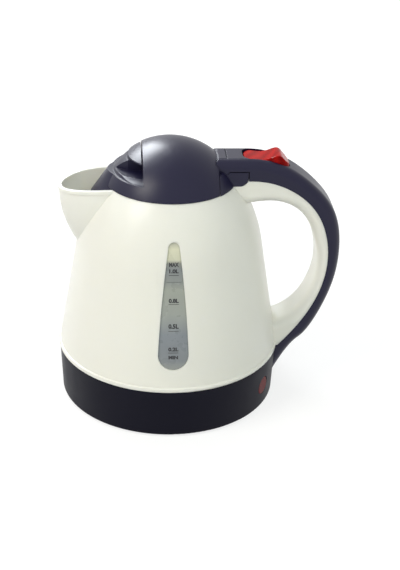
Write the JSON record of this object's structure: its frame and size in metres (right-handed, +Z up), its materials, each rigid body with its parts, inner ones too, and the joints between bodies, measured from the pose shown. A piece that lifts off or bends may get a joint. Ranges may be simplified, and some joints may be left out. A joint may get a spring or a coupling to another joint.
{
  "type": "electric kettle",
  "caption": "Jug-shaped electric kettle with a tapered body, beak spout, hinged domed lid with latch tab, loop handle, rocker switch and level window.",
  "frame": {"origin": "middle of the kettle's length and width, on the surface that it stands on; the jug's axis is 19.7 mm towards the spout", "axes": "+Z up, +X towards the handle, -X towards the spout, -Y towards the level window"},
  "size_m": [0.19, 0.1512, 0.1815],
  "materials": {
    "white_shell": "glossy cream white moulding",
    "dark_shell": "satin dark blue-grey moulding",
    "dark_band": "satin dark blue-grey moulding",
    "dark_inner": "plain dark moulding",
    "window": "frosted translucent grey",
    "red_lens": "glossy translucent red",
    "lamp_glass": "small neon lamp",
    "seal_rubber": "soft grey silicone",
    "foot_rubber": "soft black rubber",
    "lead_sleeve": "heat-proof sleeve over copper",
    "plate_steel": "brushed stainless",
    "element_steel": "dull stainless tube",
    "pin_steel": "ground",
    "screw_steel": "zinc plated",
    "contact_brass": "plain",
    "spreader_aluminium": "cast",
    "thermostat_ceramic": "unglazed"
  },
  "bodies": {
    "kettle": {"body_shell": "white_shell", "level_window": "window", "handle_cover": "dark_shell", "hinge_block": "dark_shell", "tail_screw": "screw_steel", "hinge_pin": "pin_steel", "rocker_pin": "pin_steel", "switch_housing": "dark_inner", "switch_contacts": "contact_brass", "steam_holder": "dark_inner", "steam_disc": "contact_brass", "handle_leads": "lead_sleeve", "base_housing": "dark_band", "bottom_plate": "dark_inner", "bottom_screws": "screw_steel", "feet": "foot_rubber", "power_inlet": "dark_inner", "inlet_pins": "contact_brass", "pilot_lens": "red_lens", "pilot_lamp": "lamp_glass", "heating_plate": "plate_steel", "plate_seal": "seal_rubber", "clamp_ring": "plate_steel", "clamp_screws": "screw_steel", "heat_spreader": "spreader_aluminium", "heating_element": "element_steel", "thermostat": "thermostat_ceramic", "snap_disc": "contact_brass", "thermal_fuse": "plate_steel"},
    "lid": {"lid_dome": "dark_shell", "lid_liner": "dark_inner", "lid_seal": "seal_rubber", "lid_screws": "screw_steel", "latch_pin": "pin_steel", "latch_spring": "pin_steel"},
    "latch": {"lid_latch": "dark_shell"},
    "switch": {"switch_rocker": "red_lens"}
  },
  "joints": [
    {"name": "lid_hinge", "type": "hinge", "parent": "kettle", "child": "lid", "pos_m": [0.0135, 0, 0.1669], "axis": [0, 1, 0], "range_deg": [0, 70]},
    {"name": "latch_pivot", "type": "hinge", "parent": "lid", "child": "latch", "pos_m": [-0.0407, 0, 0.1707], "axis": [0, 1, 0], "range_deg": [0, 7], "stiffness_Nm_per_rad": 0.02, "springref_deg": -5.73},
    {"name": "switch_pivot", "type": "hinge", "parent": "kettle", "child": "switch", "pos_m": [0.0413, 0, 0.163], "axis": [0, 1, 0], "range_deg": [0, 9]}
  ]
}
